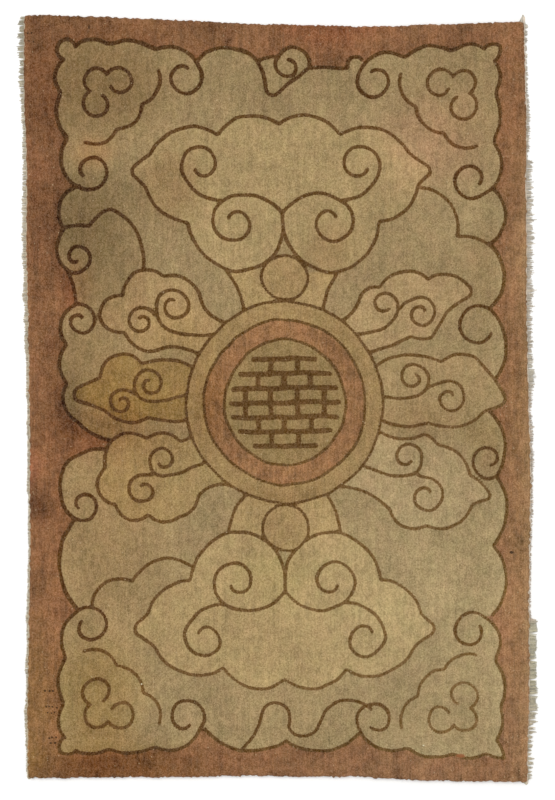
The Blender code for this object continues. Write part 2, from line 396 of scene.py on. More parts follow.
def big_cloud(cloud):
    """A ruyi cloud above or below the medallion: its outline, and two linked scrolls a side."""
    half = chain(
        Cusp(0, 34.0, 0),
        Cusp(0, 31.5, 0.42),
        Cusp(-9.5, 23.4, 0.33),
        Cusp(-17.3, 32.4, 0.33),
        Cusp(-24.8, 38.8, -0.05),
        Cusp(-26.7, 40.6, 0.50),
        Cusp(-26.6, 42.8, -0.05),
        Cusp(-23.5, 45.0, 0.46),
        Cusp(-11.2, 48.2, 0.45),
        Cusp(0, 50.0, 0),
    )
    near = curl(chain(Cusp(0, 34.0, -0.45), Cusp(-11.2, 35.8, 0)), -8.7, 32.4, 375, 0.28)
    far = curl(chain(Cusp(-11.0, 36.3, 0.30), Cusp(-17.9, 41.3, 0)), -14.5, 42.8, -350, 0.42)

    def stand(line, side):
        """Puts a line on one side of the cloud's axis, and leans, sags and flips it as the cloud is."""
        across = line[:, 0] * side + cloud.lean * (line[:, 1] - BIG_CLOUD_FOOT)
        outward = line[:, 1] + cloud.sag * (1 - (line[:, 0] / BIG_CLOUD_HALF) ** 2)
        return np.stack([cloud.axis + across, cloud.up * outward], axis=-1)

    outline = np.concatenate([stand(half, 1), stand(half[::-1], -1)])
    scrolls = [stand(line, side) for line in (near, far) for side in (1, -1)]
    return outline, scrolls


# ---------------- the medallion
BAR = 0.95

# The small discs above and below the medallion: their middles and radii.
DISCS = [(1.0, 22.3, 4.1), (1.4, -23.3, 4.3)]

# Where each stem starts at a big cloud and ends at the medallion.
STEMS = [
    [Cusp(-9.5, 23.5, 0.12), Cusp(-6.3, 16.3, 0)],
    [Cusp(11.0, 23.5, -0.15), Cusp(8.0, 16.5, 0)],
    [Cusp(-6.0, -17.5, -0.2), Cusp(-9.0, -24.8, 0)],
    [Cusp(9.0, -17.5, 0.15), Cusp(11.5, -24.8, 0)],
]


def bar(*places):
    """A straight-sided bar through some places, from the medallion's middle."""
    return chain(*[Cusp(MEDALLION[0] + x, MEDALLION[1] + y, 0) for x, y in places])


LATTICE_ROW = 2.6
LATTICE_TIE = 2.4
LATTICE_REACH = 9.6


def lattice():
    """A window lattice like brickwork: rows of bars, and short ties half a brick on in each row."""
    bars = []
    for row in range(-3, 4):
        y = row * LATTICE_ROW
        reach = math.sqrt(LATTICE_REACH**2 - y**2)
        bars.append(bar((-reach, y), (reach, y)))
    for row in range(3):
        for tie in range(-3, 4, 2) if row % 2 == 0 else range(-2, 3, 2):
            x = tie * LATTICE_TIE
            low, high = row * LATTICE_ROW, (row + 1) * LATTICE_ROW
            if math.hypot(x, high) < LATTICE_REACH:
                bars += [bar((x, low * up), (x, high * up)) for up in (1, -1)]
    return bars


# ---------------- dyes
# Dyes are screen colours from 0 to 255, as the worn wool shows them.
RUST = (139, 99, 67)
KHAKI = (159, 136, 96)
GOLD = (158, 130, 86)
FADED_RUST = (147, 107, 71)
DISC_KHAKI = (147, 122, 80)
SMALL_DISC = (164, 136, 92)
STEM_GOLD = (171, 144, 98)

DARK_LINE = (92, 64, 30)
WORN_LINE = (122, 94, 56)

# FAR is the ink where no line is within reach, in cm. Lines thin and wear across and along the rug.
FAR = 99.0
REACH_OF_INK = 1.6
THINNING = 0.0012
WEAR_ACROSS = 0.0045
WEAR_ALONG = 0.004
BORDER_WEAR = 0.05
CLOUD_WEAR = 0.5
RING_WEAR = 0.35
BAR_WEAR = 0.3
CUSP_SOFTNESS = 0.45


class Pattern:
    """The painted pattern: for each place, its dye and how far it is outside the nearest line."""

    def __init__(self, places):
        self.places = places
        self.dye = np.tile(np.array(RUST, float), (len(places), 1))
        self.ink = np.full(len(places), FAR)
        self.worn = np.zeros(len(places))

    def fill(self, outline, dye):
        """Lays a dye over all that an outline holds, and over the lines there."""
        inside = holds(outline, self.places)
        self.dye[inside] = dye
        self.ink[inside] = FAR

    def draw(self, line, width, worn):
        """Draws a line over what is there, thinner towards the lower right.

        worn is how pale the line has gone, from 0 to 1.
        """
        low = line.min(axis=0) - REACH_OF_INK
        high = line.max(axis=0) + REACH_OF_INK
        near = np.flatnonzero(((self.places > low) & (self.places < high)).all(axis=1))
        tree = KDTree(len(line))
        for number, (x, y) in enumerate(line):
            tree.insert((x, y, 0), number)
        tree.balance()
        distance = np.array([tree.find((x, y, 0))[2] for x, y in self.places[near]])
        across, along = self.places[near].T
        outside = distance - width / 2 * (1 - THINNING * (across - along))
        nearest = outside < self.ink[near]
        self.ink[near[nearest]] = outside[nearest]
        self.worn[near[nearest]] = worn

    def wear(self):
        """How worn the nearest line is: more so to the lower right."""
        x, y = self.places.T
        return np.clip(self.worn + WEAR_ACROSS * x - WEAR_ALONG * y, 0, 1)


def holds(outline, places):
    """Which places lie inside a closed outline, by the even-odd rule."""
    low, high = outline.min(axis=0), outline.max(axis=0)
    near = np.flatnonzero(((places > low) & (places < high)).all(axis=1))
    x, y = places[near].T
    inside = np.zeros(len(near), bool)
    for (x0, y0), (x1, y1) in zip(outline, np.roll(outline, -1, axis=0)):
        if y0 != y1:
            crosses = (y0 > y) != (y1 > y)
            inside ^= crosses & (x < (x1 - x0) * (y - y0) / (y1 - y0) + x0)
    held = np.zeros(len(places), bool)
    held[near] = inside
    return held


def paint_field(pattern):
    pattern.fill(field_outline(), KHAKI)
    for corner in CORNERS.values():
        border, curls = corner_lines(corner)
        for line in [border, *curls]:
            pattern.draw(line, BORDER_LINE, BORDER_WEAR)
        for line in [*trefoil(corner), bracket(corner)]:
            pattern.draw(soften(line, CUSP_SOFTNESS), CLOUD_LINE, CLOUD_WEAR)
    for edge in (top_edge, right_edge, bottom_edge, left_edge):
        waves, curls = edge()
        for line in [*waves, *curls]:
            pattern.draw(soften(line, CUSP_SOFTNESS), BORDER_LINE, BORDER_WEAR)
    for line in hills():
        pattern.draw(soften(line, CUSP_SOFTNESS), CLOUD_LINE, CLOUD_WEAR)


def paint_clouds(pattern):
    for left, right in (STEMS[:2], STEMS[2:]):
        left, right = chain(*left), chain(*right)
        pattern.fill(np.concatenate([left, right[::-1]]), STEM_GOLD)
        for line in (left, right):
            pattern.draw(line, CLOUD_LINE, CLOUD_WEAR)
    for clouds, motif in ((SIDE_CLOUDS, side_cloud), (BIG_CLOUDS, big_cloud)):
        for cloud in clouds:
            outline, scrolls = motif(cloud)
            outline = soften(outline, CUSP_SOFTNESS)
            pattern.fill(outline, cloud.dye)
            for line in [outline, *scrolls]:
                pattern.draw(line, CLOUD_LINE, CLOUD_WEAR)


def paint_disc(pattern, outline, dye):
    pattern.fill(outline, dye)
    pattern.draw(outline, RING_LINE, RING_WEAR)


def paint_medallion(pattern):
    for ring, dye in ((RING_OUT, GOLD), (RING_MIDDLE, FADED_RUST), (RING_IN, DISC_KHAKI)):
        paint_disc(pattern, ellipse(*MEDALLION, *ring), dye)
    for line in lattice():
        pattern.draw(line, BAR, BAR_WEAR)
    for x, y, radius in DISCS:
        paint_disc(pattern, ellipse(x, y, radius, radius), SMALL_DISC)


def painted(places, outline):
    """The whole pattern, painted at some places on the rug."""
    pattern = Pattern(to_pattern(places, outline))
    paint_field(pattern)
    paint_clouds(pattern)
    paint_medallion(pattern)
    return pattern


# ---------------- the rug's outline
EDGE_SEARCH = 30 * MM


def node_points(name):
    """The places of a CAD node's vertices."""
    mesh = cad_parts[name].data
    places = np.empty(len(mesh.vertices) * 3)
    mesh.vertices.foreach_get("co", places)
    return places.reshape(-1, 3)


class Outline:
    """The four edges of the rug, as its CAD solid has them."""

    def __init__(self):
        points = node_points("rug")
        wall_height = points[points[:, 0].argmax(), 2]
        self.wall = points[np.isclose(points[:, 2], wall_height, atol=1e-5)]
        low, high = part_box("rug")
        self.low, self.high = np.array(low)[:2], np.array(high)[:2]
        self.middle = (self.low + self.high) / 2

    def edge(self, axis, side, along):
        """How far out an edge is. axis 0 is a long side, and axis 1 is an end."""
        extreme = (self.high if side > 0 else self.low)[axis]
        across, lengthwise = self.wall[:, axis], self.wall[:, 1 - axis]
        inner = self.low[1 - axis] + EDGE_SEARCH, self.high[1 - axis] - EDGE_SEARCH
        near = (np.abs(across - extreme) < EDGE_SEARCH) & (lengthwise > inner[0]) & (lengthwise < inner[1])
        order = np.argsort(lengthwise[near])
        return np.interp(along, lengthwise[near][order], across[near][order])

    def grid(self, cell, inset):
        """Places on an even grid that fills the outline, less an inset. Rows run along X."""
        size = self.high - self.low
        columns, rows = (int(round(length / cell)) + 1 for length in size)
        across = np.linspace(0, 1, columns)
        along = np.linspace(0, 1, rows)
        even_x = self.low[0] + size[0] * across
        even_y = self.low[1] + size[1] * along
        left = self.edge(0, -1, even_y) + inset
        right = self.edge(0, 1, even_y) - inset
        bottom = self.edge(1, -1, even_x) + inset
        top = self.edge(1, 1, even_x) - inset
        x = left[:, None] + (right - left)[:, None] * across
        y = bottom + (top - bottom) * along[:, None]
        return x, y


# The slight waver of handwork, as waves in cm.
PATTERN_OFF_CENTRE = (1.97 * MM, -2.24 * MM)
HAND_SEED = 7
HandWave = namedtuple("HandWave", "length reach")
HAND_WAVES = [HandWave(31, 0.12), HandWave(17, 0.08), HandWave(9, 0.06), HandWave(5.5, 0.05),
              HandWave(3.7, 0.04)]


def to_pattern(places, outline):
    """Places on the rug, in the pattern's centimetres, with the waver of handwork."""
    places = (places[:, :2] - (outline.middle + np.array(PATTERN_OFF_CENTRE))) / CM
    draws = random.Random(HAND_SEED)
    wavered = places.copy()
    for wave in HAND_WAVES:
        for axis in (0, 1):
            heading = draws.uniform(0, 360)
            phase = draws.uniform(0, 2 * math.pi)
            along = places @ bearing_step(heading, 1.0) / wave.length
            wavered[:, axis] += wave.reach * np.sin(2 * math.pi * along + phase)
    return wavered


# ---------------- a worn surface, in numbers
def smooth_noise(x, y, size, seed):
    """Soft noise from -1 to 1 with a feature size, from random values on a lattice."""
    across, along = (x - x.min()) / size, (y - y.min()) / size
    values = np.random.default_rng(seed).uniform(-1, 1, (int(across.max()) + 2, int(along.max()) + 2))
    column, row = across.astype(int), along.astype(int)
    right, up = across - column, along - row
    right, up = right * right * (3 - 2 * right), up * up * (3 - 2 * up)
    low = values[column, row] * (1 - right) + values[column + 1, row] * right
    high = values[column, row + 1] * (1 - right) + values[column + 1, row + 1] * right
    return low * (1 - up) + high * up


# ---------------- plates: one fine face and a rim
# How far out a row of the rim stands, for each vertex of the grid's edge, and how high it is.
RimRow = namedtuple("RimRow", "out height")


def new_piece(name, vertices, faces):
    mesh = bpy.data.meshes.new(name)
    mesh.from_pydata(vertices, [], faces)
    mesh.shade_smooth()
    piece = bpy.data.objects.new(name, mesh)
    bpy.context.scene.collection.objects.link(piece)
    return piece


def store(piece, name, kind, field, values):
    """Stores a value for each of a piece's vertices, for its material to read."""
    piece.data.attributes.new(name, kind, "POINT").data.foreach_set(field, np.ravel(values))


def plate(name, x, y, z, rim, faces_up):
    """A closed plate: a fine grid, rows of rim that follow its edge, and one flat face behind."""
    rows, columns = x.shape
    number = np.arange(rows * columns).reshape(rows, columns)
    loop = np.concatenate([number[0, :-1], number[:-1, -1], number[-1, :0:-1], number[:0:-1, 0]])
    outward = np.zeros((rows, columns, 2))
    outward[0, :, 1] -= 1
    outward[-1, :, 1] += 1
    outward[:, 0, 0] -= 1
    outward[:, -1, 0] += 1
    outward = outward.reshape(-1, 2)[loop]
    outward /= np.hypot(*outward.T)[:, None]

    flat = np.stack([x.ravel(), y.ravel(), z.ravel()], axis=-1)
    places = [flat]
    for row in rim:
        ring = flat[loop].copy()
        ring[:, :2] += outward * row.out[:, None]
        ring[:, 2] = row.height
        places.append(ring)
    places = np.concatenate(places)

    quads = np.stack([number[:-1, :-1], number[:-1, 1:], number[1:, 1:], number[1:, :-1]], -1).reshape(-1, 4)
    upper = loop
    for step in range(len(rim)):
        lower = rows * columns + step * len(loop) + np.arange(len(loop))
        sides = np.stack([upper, lower, np.roll(lower, -1), np.roll(upper, -1)], axis=-1)
        quads = np.concatenate([quads, sides])
        upper = lower
    faces = quads.tolist() + [upper[::-1].tolist()]
    if not faces_up:
        faces = [face[::-1] for face in faces]

    piece = new_piece(name, places.tolist(), faces)
    spread_out(piece.data, places, rows * columns, loop, outward, len(rim))
    return piece, places


BAKE_MAP = "OFBake"
BAKE_MARGIN = 0.02
RIM_SHARE = 0.45
BACK_SHARE = 0.005


def spread_out(mesh, places, grid_size, loop, outward, rim_rows):
    """Lays the plate out flat for baking, its rim around it and its plain back in a corner."""
    low, high = places[:, :2].min(axis=0), places[:, :2].max(axis=0)
    flat = BAKE_MARGIN + (places[:, :2] - low) / (high - low) * (1 - 2 * BAKE_MARGIN)
    for row in range(rim_rows):
        start = grid_size + row * len(loop)
        share = RIM_SHARE * (row + 1) / rim_rows
        flat[start:start + len(loop)] = flat[loop] + outward * BAKE_MARGIN * share
    corners = np.empty(len(mesh.loops), int)
    mesh.loops.foreach_get("vertex_index", corners)
    layout = flat[corners]
    back = mesh.polygons[len(mesh.polygons) - 1]
    layout[back.loop_start:back.loop_start + back.loop_total] *= BACK_SHARE
    mesh.uv_layers.new(name=BAKE_MAP).data.foreach_set("uv", layout.ravel())
    mesh.uv_layers[BAKE_MAP].active_render = True


# ---------------- wear and stains
# A patch tints what is under it: its place and half sizes in cm, and how strongly it does. A tint
# is what it multiplies each screen colour by.
Patch = namedtuple("Patch", "x y width height strength")

OLIVE = (0.84, 0.82, 0.79)
BROWN = (0.88, 0.83, 0.80)
UMBER = (0.76, 0.74, 0.72)
ROSE = (1.09, 1.02, 1.06)
PEACH = (1.08, 1.00, 0.95)
BLEACHED = (1.08, 1.085, 1.09)
GILDED = (0.98, 0.95, 0.84)
MADDER = (1.04, 0.90, 0.86)
TAWNY = (1.00, 0.955, 0.91)
SALLOW = (1.00, 1.05, 1.01)
TAN = (0.98, 1.02, 0.94)
FRAYED = (1.16, 1.20, 1.26)
ASHEN = (1.00, 1.03, 1.06)
RUSSET = (0.90, 0.84, 0.76)

PATCHES = {
    OLIVE: [
        (-34, 58, 13, 10, 1.0), (-35, 35, 8, 8, 1.2), (-33, 25, 9, 9, 0.8), (-36, 8, 6, 6, 0.5),
        (-2, 58, 22, 6, 0.3), (-25, 70, 30, 7, 0.55),
    ],
    ROSE: [(28, 47, 9, 8, 0.8), (-47, -12.5, 4, 4, 1.3)],
    PEACH: [(-34, 45, 4, 3, 0.8)],
    BLEACHED: [
        (18, -31, 18, 14, 0.5), (-5, -56, 26, 8, 0.4), (19, 0, 3, 9, 0.5), (1, -13, 7, 2, 0.6),
        (1, 14, 10, 4, 0.7), (1, -14, 10, 4, 0.6), (-29, 67, 8, 4, 1.0), (31, -67, 7, 4, 0.8),
        (-46, -48, 7, 22, 0.5), (46, 0, 7, 60, 0.4), (43, 27, 4, 7, 1.2), (46, -42, 8, 30, 0.6),
        (46, -62, 7, 12, 0.9), (-28, -43, 5, 5, 0.7), (10, -69, 40, 5, 0.35), (33, -62, 7, 4, 0.8),
        (22, -42, 9, 6, 0.4), (35, -44, 8, 15, 0.7), (-13, -32, 4, 5, 0.6), (30, -27, 8, 4, 0.5),
        (32, -36, 6, 3, 0.4), (18, -46, 30, 18, 0.3),
    ],
    GILDED: [
        (-33, -53, 8, 9, 0.9), (-27, -1, 9, 5, 0.5), (-18, 12, 6, 5, 0.4), (-12, 0, 3, 7, 0.6),
        (-29, -67, 16, 5, 0.8), (37, -6, 4, 3, 0.4),
    ],
    BROWN: [
        (-20, 39, 6, 7, 0.8), (9, 27, 5, 5, 0.6), (-16, 0, 4, 10, 0.45), (1, -17.5, 8, 2, 0.4),
        (-47, 44, 8, 30, 0.6), (-29, -6, 12, 5, 0.7), (38, 24, 3, 9, 0.4), (25, -4, 7, 4, 0.55),
        (35, 56, 11, 11, 0.3), (39, -11, 2.5, 4, 0.7),
    ],
    MADDER: [(10, 69, 10, 5, 0.7), (-36.5, 21, 3, 5, 0.5)],
    UMBER: [
        (-32, -67, 10, 3, 0.25), (-20, -66, 6, 3, 0.4), (-46, -19.5, 4.5, 3, 1.1),
        (-38, -1, 3, 6, 0.85),
    ],
    TAN: [(-45, -67, 4, 5, 0.6), (-46, -55, 6, 14, 1.0), (0, -32, 7, 5, 0.4)],
    RUSSET: [
        (-33, -67, 5, 2.5, 0.7), (-25, -66.5, 3, 2, 0.5), (-32, -5, 6, 3, 0.6), (-33, -62, 7, 5, 0.6),
    ],
    FRAYED: [(45.8, 0, 1.2, 75, 0.8), (-46.0, 0, 0.8, 75, 0.5), (33, 34, 5, 5, 0.2)],
    ASHEN: [
        (46, -30, 7, 40, 0.6), (47, 27, 7, 20, 1.1), (46, -62, 7, 12, 0.9), (24, -67, 16, 5, 0.8),
        (27, -38, 20, 30, 0.55),
    ],
    TAWNY: [(-33, -15, 12, 36, 0.8), (-32, 57, 12, 10, 0.7)],
    SALLOW: [(47.5, -5, 5.5, 70, 0.9)],
}


def weather(dye, places):
    """Tints the dyes where the wool is faded, dark or stained."""
    weathered = dye.copy()
    x, y = places.T
    for tint, rows in PATCHES.items():
        for patch in starmap(Patch, rows):
            away = ((x - patch.x) / patch.width) ** 2 + ((y - patch.y) / patch.height) ** 2
            share = patch.strength * np.exp(-away**1.5)
            weathered *= 1 + share[:, None] * (np.array(tint) - 1)
    return weathered


def linear(screen_colour):
    """A colour from the screen's 0 to 255 to the linear 0 to 1 that shaders take."""
    share = np.asarray(screen_colour, float) / 255
    return np.where(share < 0.04045, share / 12.92, ((share + 0.055) / 1.055) ** 2.4)


def rgba(screen_colour):
    return (*linear(screen_colour), 1.0)


EXPOSURE = 0.88


def paint(piece, places, outline):
    """Stores each vertex's dye, line colour and line distance, for the material to read."""
    pattern = painted(places, outline)
    worn = pattern.wear()[:, None]
    line = np.array(DARK_LINE) * (1 - worn) + np.array(WORN_LINE) * worn
    for name, colour in (("dye", pattern.dye), ("line", line)):
        shown = linear(weather(colour, pattern.places)) * EXPOSURE
        store(piece, name, "FLOAT_COLOR", "color", np.column_stack([shown, np.ones(len(shown))]))
    store(piece, "ink", "FLOAT", "value", pattern.ink)


# ---------------- materials
# What light and dark grains are partly made of, besides the dye: dusty tips over brown gaps. Their darkness
# in the gaps is partly painted shade, and their lightness on the tips partly painted light.
DUST_AND_SHADE = (0.30, 0.24, 0.195, 1.0)
DUST_AND_SHADE_SHARE = 0.4

# How soft an outline's edge is, in cm
LINE_EDGE = 0.07

# Noise in the wool or cotton: how big its features are in mm, across and along the rug, how fine and
# rough it goes, and how strongly it lightens and darkens the colour.
Grain = namedtuple("Grain", "across along detail roughness strength")


class Wiring:
    """A material's node tree, built by short calls. A socket that isn't linked takes a value."""

    def __init__(self, name, roughness):
        self.material = bpy.data.materials.new(name)
        self.material.use_nodes = True
        self.tree = self.material.node_tree
        self.shader = self.tree.nodes["Principled BSDF"]
        self.shader.inputs["Specular IOR Level"].default_value = 0.1
        self.shader.inputs["Roughness"].default_value = roughness
        self.places = self.node("TexCoord", {}, "Object")

    def feed(self, socket, value):
        if isinstance(value, bpy.types.NodeSocket):
            self.tree.links.new(value, socket)
        else:
            socket.default_value = value

    def node(self, kind, inputs, output=0, **settings):
        """Adds a node, sets it, feeds its inputs by name or number, and gives one of its outputs."""
        node = self.tree.nodes.new("ShaderNode" + kind)
        for setting, value in settings.items():
            setattr(node, setting, value)
        for socket, value in inputs.items():
            self.feed(node.inputs[socket], value)
        return node.outputs[output]

    def math(self, operation, *values):
        return self.node("Math", dict(enumerate(values)), operation=operation)

    def mix(self, share, low, high, blend="MIX"):
        return self.node("Mix", {0: share, 6: low, 7: high}, 2, data_type="RGBA", blend_type=blend)

    def ramp(self, value, low, high, to_low=0.0, to_high=1.0):
        numbers = dict(enumerate((value, low, high, to_low, to_high)))
        return self.node("MapRange", numbers, interpolation_type="SMOOTHSTEP")

    def stretched(self, x, y, z=1.0):
        """The object's places in units of a feature's size along each axis, in metres."""
        return self.node("Mapping", {"Vector": self.places, "Scale": (1 / x, 1 / y, 1 / z)})

    def noise(self, places, detail=2.0, roughness=0.5):
        inputs = {"Vector": places, "Scale": 1.0, "Detail": detail, "Roughness": roughness}
        return self.node("TexNoise", inputs, "Fac")

    def grain(self, grain):
        """A grain's noise, and its strength."""
        places = self.stretched(grain.across * MM, grain.along * MM)
        return self.noise(places, grain.detail, grain.roughness), grain.strength

    def cells(self, places, randomness):
        """Scattered cells: how far a place is from its cell's middle, and three random values."""
        inputs = {"Vector": places, "Scale": 1.0, "Randomness": randomness}
        distance = self.node("TexVoronoi", inputs, "Distance")
        return distance, self.split(distance.node.outputs["Color"])

    def split(self, colour):
        return self.node("SeparateColor", {0: colour}).node.outputs

    def attribute(self, name, output="Color"):
        return self.node("Attribute", {}, output, attribute_name=name)

    def redness(self, colour):
        """How many times as much red as green a colour has."""
        red, green, _ = self.split(colour)
        return self.math("DIVIDE", red, green)

    def tinted(self, colour, value, low, high):
        """A colour multiplied by one tint or another, as a value goes from 0 to 1."""
        return self.mix(1.0, colour, self.mix(value, low, high), "MULTIPLY")

    def shaded(self, colour, grains, dust_and_shade, gain=1.0):
        """A colour made lighter and darker by grains, each a value about a half and a strength.

        The share of dust and shade is how much of their light is the colour of dusty tips and painted shade,
        and not of the dye. gain is how strong all of them are.
        """
        total = 0.0
        for value, strength in grains:
            total = self.math("MULTIPLY_ADD", self.math("SUBTRACT", value, 0.5), strength, total)
        total = self.math("MULTIPLY", total, gain)
        grain = self.node("CombineXYZ", {0: total, 1: total, 2: total})
        inputs = {0: grain, 1: self.mix(dust_and_shade, colour, DUST_AND_SHADE), 2: colour}
        return self.node("VectorMath", inputs, operation="MULTIPLY_ADD")

    def about_zero(self, value, spread):
        """A value from 0 to 1 made to spread evenly about 0."""
        return self.math("MULTIPLY_ADD", value, spread, -spread / 2)

    def dyed(self, jitter):
        """The dye, or the dark outline's colour where it shows, its edge moved by a jitter in cm."""
        ink = self.math("ADD", self.attribute("ink", "Fac"), jitter)
        shows = self.ramp(ink, -LINE_EDGE, LINE_EDGE, 1.0, 0.0)
        return self.mix(shows, self.attribute("dye"), self.attribute("line"))

    def finish(self, colour, height, depth):
        """Joins up the surface colour, and the bump, which is depth metres from 0 to 1."""
        self.feed(self.shader.inputs["Base Color"], colour)
        bump = self.node("Bump", {"Distance": depth, "Height": height}, "Normal")
        self.feed(self.shader.inputs["Normal"], bump)
        return self.material


# Slow changes of hue, as linear factors: where the wool has gone pinker, and where more olive.
PINKER = (1.07, 0.94, 1.02, 1)
OLIVER = (0.94, 1.05, 0.96, 1)

# Madder rust has worn less evenly than gold and khaki. RUSTY is red over green, in linear light.
RUSTY = (1.5, 1.9)
RUSTY_GAIN = 1.8

FIBRES = Grain(0.9, 1.2, 3.0, 0.65, 1.6)
CLUMPS = Grain(3.6, 4.2, 1.0, 0.5, 0.20)
STREAKS = Grain(3.0, 45, 2.0, 0.5, 0.40)
BANDS = Grain(9, 150, 2.0, 0.5, 0.30)
MOTTLING = Grain(14, 18, 4.0, 0.6, 0.75)
BLOTCHES = Grain(75, 95, 3.0, 0.5, 0.55)
HUES = Grain(30, 40, 5.0, 0.65, 1.0)

TUFT_SIZE = 1.9 * MM
KNOT_STRENGTH = 0.50
PILE_BUMP = 0.9 * MM
TUFT_BUMP = -0.7
FIBRE_BUMP = 0.9

# How far knots and fibres move an outline's edge, in cm
KNOT_JITTER = 0.10
FIBRE_JITTER = 0.16

# Pale flecks: which of the knots have one, from their random values, and how strong it is.
FLECK = (200, 178, 142)
FLECK_EDGE = (0.995, 0.9995)
FLECK_STRENGTH = 0.4

# Small damage, in cm with half sizes in mm: a tar spot, a mended place, lint, and rows of moth
# holes, which are painted shade: dark dots on a pile whose mesh has no holes. A row has several dots side by
# side.
Spot = namedtuple("Spot", "x y half_width half_height colour dots")
TAR, MEND, LINT, MOTH_HOLE_SHADE = (40, 30, 20), (150, 95, 60), (215, 204, 172), (44, 28, 14)
SPOTS = [
    (42.6, -27.9, 4.0, 3.0, TAR, 1),
    (33.2, -64.8, 9.0, 4.0, MEND, 1),
    (26.5, -63.0, 1.8, 1.6, LINT, 1),
    (-24.8, -51.7, 1.4, 1.8, LINT, 1),
    # Moth holes: dark dots of painted shade, as the pile's mesh isn't cut there.
    (-42.2, -53.0, 2.4, 2.2, MOTH_HOLE_SHADE, 3),
    (-42.2, -56.0, 1.8, 1.8, MOTH_HOLE_SHADE, 4),
    (-41.9, -57.0, 1.6, 1.6, MOTH_HOLE_SHADE, 3),
    (-41.6, -61.6, 1.9, 1.7, MOTH_HOLE_SHADE, 3),
    (-41.2, -62.6, 2.6, 1.8, MOTH_HOLE_SHADE, 2),
    (-34.2, 67.8, 1.8, 4.5, MOTH_HOLE_SHADE, 1),
    (-45.4, 66.6, 1.7, 1.7, MOTH_HOLE_SHADE, 2),
    (-45.2, 65.2, 1.6, 1.6, MOTH_HOLE_SHADE, 2),
]
DOT_PITCH = 6.5 * MM
DOT_SCATTER = 1.2 * MM
DOT_SEED = 17
SPOT_EDGE = (1.1, 1.7)
SPOT_STRENGTH = 0.85


def spotted(wiring, colour, fibre, spot, draws):
    """Ragged spots on the wool, roughly side by side."""
    size = (spot.half_width * MM, spot.half_height * MM, 1.0)
    for dot in range(spot.dots):
        x = spot.x * CM + dot * DOT_PITCH + draws.uniform(-DOT_SCATTER, DOT_SCATTER)
        y = spot.y * CM + draws.uniform(-DOT_SCATTER, DOT_SCATTER)
        inputs = {"Vector": wiring.places, "Location": (x, y, PILE_TOP), "Scale": size}
        at = wiring.node("Mapping", inputs, vector_type="TEXTURE")
        away = wiring.node("VectorMath", {0: at}, "Value", operation="LENGTH")
        shows = wiring.ramp(wiring.math("ADD", fibre, away), *SPOT_EDGE, SPOT_STRENGTH, 0.0)
        colour = wiring.mix(shows, colour, rgba(spot.colour))
    return colour


def pile_material():
    """Worn wool pile: knots, stray fibres, streaks along the rug, blotches, flecks and spots."""
    wiring = Wiring("pile_wool", roughness=0.97)
    wiring.shader.inputs["Sheen Weight"].default_value = 0.04
    tuft, knot = wiring.cells(wiring.stretched(TUFT_SIZE, TUFT_SIZE), randomness=0.85)
    fibres = wiring.grain(FIBRES)
    fibre = fibres[0]
    jitter = wiring.about_zero(knot[0], KNOT_JITTER)
    jitter = wiring.math("ADD", jitter, wiring.about_zero(fibre, FIBRE_JITTER))
    colour = wiring.tinted(wiring.dyed(jitter), wiring.grain(HUES)[0], OLIVER, PINKER)
    uneven = wiring.ramp(wiring.redness(wiring.attribute("dye")), *RUSTY, 1.0, RUSTY_GAIN)
    slow = [wiring.grain(grain) for grain in (STREAKS, BANDS, MOTTLING, BLOTCHES)]
    colour = wiring.shaded(colour, slow, 0.0, uneven)
    # Fine grains: each knot's own tone, and the fibre noise that also raises the bump. The colour is partly
    # painted light on raised fibres and painted shade in the gaps between them.
    fine = [(knot[1], KNOT_STRENGTH), fibres, wiring.grain(CLUMPS)]
    colour = wiring.shaded(colour, fine, DUST_AND_SHADE_SHARE)
    colour = wiring.mix(wiring.ramp(knot[2], *FLECK_EDGE, 0.0, FLECK_STRENGTH), colour, rgba(FLECK))
    draws = random.Random(DOT_SEED)
    for spot in starmap(Spot, SPOTS):
        colour = spotted(wiring, colour, fibre, spot, draws)

    height = wiring.math("MULTIPLY_ADD", tuft, TUFT_BUMP, 1.0)
    height = wiring.math("MULTIPLY_ADD", fibre, FIBRE_BUMP, height)
    return wiring.finish(colour, height, PILE_BUMP)


BACK_FIBRES = Grain(1.0, 0.7, 2.0, 0.5, 0.5)
BACK_KNOT = 3.2 * MM
BACK_KNOT_STRENGTH = 0.35
BACK_JITTER = 0.2
BACK_BUMP = 0.5 * MM
BACK_FIBRE_BUMP = 0.6

# The wefts, as waves drawn at a size that gives a row of them about every 6 mm.
WEFT = (168, 150, 118)
WEFT_SIZE = 3.1 * MM
WEFT_SCALE = 1 / 20
WEFT_WAVER = 0.8
WEFT_EDGE = (0.7, 0.95)
WEFT_STRENGTH = 0.6


def foundation_material():
    """The back of the rug: flat knots in rows between the wefts, in the pattern's colours."""
    wiring = Wiring("pile_wool_back", roughness=0.9)
    knot = wiring.cells(wiring.stretched(BACK_KNOT, BACK_KNOT), randomness=0.3)[1]
    fibres = wiring.grain(BACK_FIBRES)
    colour = wiring.dyed(wiring.about_zero(knot[0], BACK_JITTER))
    # The fibre noise also raises the bump. Besides the fibres' tone, it paints light on raised fibres and
    # painted shade between them.
    colour = wiring.shaded(colour, [(knot[1], BACK_KNOT_STRENGTH), fibres], DUST_AND_SHADE_SHARE)
    places = wiring.stretched(WEFT_SIZE, WEFT_SIZE * WEFT_SCALE * 2 * math.pi)
    inputs = {"Vector": places, "Scale": WEFT_SCALE, "Distortion": WEFT_WAVER}
    rows = wiring.node("TexWave", inputs, "Fac", bands_direction="Y")
    colour = wiring.mix(wiring.ramp(rows, *WEFT_EDGE, 0.0, WEFT_STRENGTH), colour, rgba(WEFT))
    height = wiring.math("MULTIPLY_ADD", fibres[0], BACK_FIBRE_BUMP, rows)
    return wiring.finish(colour, height, BACK_BUMP)


GRIME = Grain(5, 12, 3.0, 0.5, 0.6)
PLY_SIZE = 0.5 * MM
PLY_STRENGTH = 0.7
PLY_BUMP = 0.25 * MM


